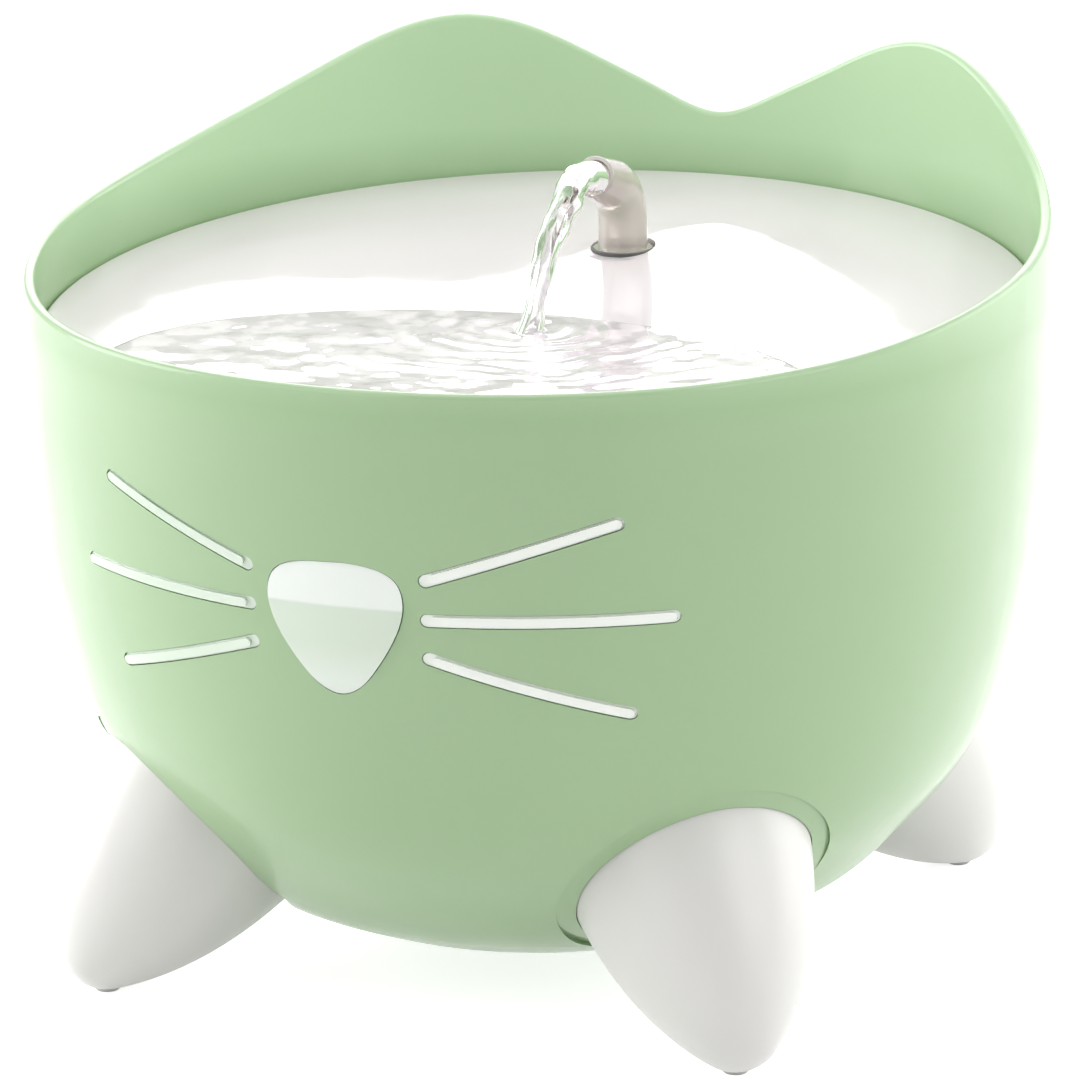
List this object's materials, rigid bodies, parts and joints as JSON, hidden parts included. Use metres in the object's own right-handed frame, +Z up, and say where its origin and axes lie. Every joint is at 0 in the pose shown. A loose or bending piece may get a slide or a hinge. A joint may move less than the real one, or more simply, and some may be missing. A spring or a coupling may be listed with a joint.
{
  "type": "pet drinking fountain",
  "caption": "Round reservoir on tapered legs with an ear-shaped rear rim, a face window, a lift-off drinking tray, an elbow spout and a submersible pump.",
  "frame": {"origin": "on the floor under the middle of the reservoir", "axes": "+Z up; the face with the nose and whiskers looks along -Y; +X is to the right seen from behind the face"},
  "size_m": [0.24, 0.24, 0.201],
  "materials": {
    "green_plastic": "satin",
    "white_plastic": "satin",
    "tray_plastic": "glossy",
    "clear_plastic": "polished clear plastic",
    "spout_plastic": "translucent",
    "silicone": "matt",
    "pad_rubber": "matt",
    "case_plastic": "matt",
    "pump_plastic": "matt",
    "filter_foam": "open-cell foam",
    "filter_carbon": "granular",
    "magnet": "matt ferrite",
    "shaft_ceramic": "polished",
    "core_steel": "laminated",
    "coil_wire": "enamelled winding",
    "resin": "cast",
    "board": "matt",
    "cable_jacket": "satin",
    "shell_metal": "bright"
  },
  "bodies": {
    "reservoir": {"cable_gland": "white_plastic", "face_window": "clear_plastic", "filter_case": "case_plastic", "foot_pad_front_left": "pad_rubber", "foot_pad_front_right": "pad_rubber", "foot_pad_rear_left": "pad_rubber", "foot_pad_rear_right": "pad_rubber", "gland_seal": "silicone", "led_board": "board", "led_lens": "clear_plastic", "leg_front_left": "white_plastic", "leg_front_right": "white_plastic", "leg_rear_left": "white_plastic", "leg_rear_right": "white_plastic", "plug_body": "cable_jacket", "plug_shell": "shell_metal", "potting_seal": "resin", "power_cable": "cable_jacket", "pump_front_cap": "pump_plastic", "pump_housing": "pump_plastic", "pump_outlet_nozzle": "pump_plastic", "pump_rear_cover": "pump_plastic", "reservoir_bowl": "green_plastic", "riser_tube": "silicone", "rotor_shaft": "shaft_ceramic", "shaft_bush_front": "silicone", "shaft_bush_rear": "silicone", "stator_coil": "coil_wire", "stator_core": "core_steel", "suction_cup_front_left": "silicone", "suction_cup_front_right": "silicone", "suction_cup_rear_left": "silicone", "suction_cup_rear_right": "silicone"},
    "tray": {"drinking_tray": "tray_plastic", "spout_collar": "silicone"},
    "spout": {"spout": "spout_plastic"},
    "rotor": {"rotor_magnet": "magnet", "impeller_wheel": "pump_plastic"},
    "flow_dial": {"flow_dial": "pump_plastic"},
    "case_lid": {"filter_case_lid": "case_plastic"},
    "cartridge": {"cartridge_frame": "case_plastic", "cartridge_foam": "filter_foam", "cartridge_carbon": "filter_carbon"}
  },
  "joints": [
    {"name": "tray_lift", "type": "slide", "parent": "reservoir", "child": "tray", "axis": [0, 0, 1], "range_m": [0, 0.13]},
    {"name": "spout_swivel", "type": "hinge", "parent": "tray", "child": "spout", "pos_m": [0, 0.054, 0.156], "axis": [0, 0, 1], "range_deg": [-35, 35]},
    {"name": "impeller_spin", "type": "hinge", "parent": "reservoir", "child": "rotor", "pos_m": [0, 0.045, 0.042], "axis": [0, -1, 0], "continuous": true},
    {"name": "flow_dial_turn", "type": "hinge", "parent": "reservoir", "child": "flow_dial", "pos_m": [0, 0.064, 0.042], "axis": [0, 1, 0], "range_deg": [0, 60]},
    {"name": "case_lid_lift", "type": "slide", "parent": "reservoir", "child": "case_lid", "axis": [0, 0, 1], "range_m": [0, 0.035]},
    {"name": "cartridge_lift", "type": "slide", "parent": "case_lid", "child": "cartridge", "axis": [0, 0, 1], "range_m": [0, 0.036]}
  ]
}
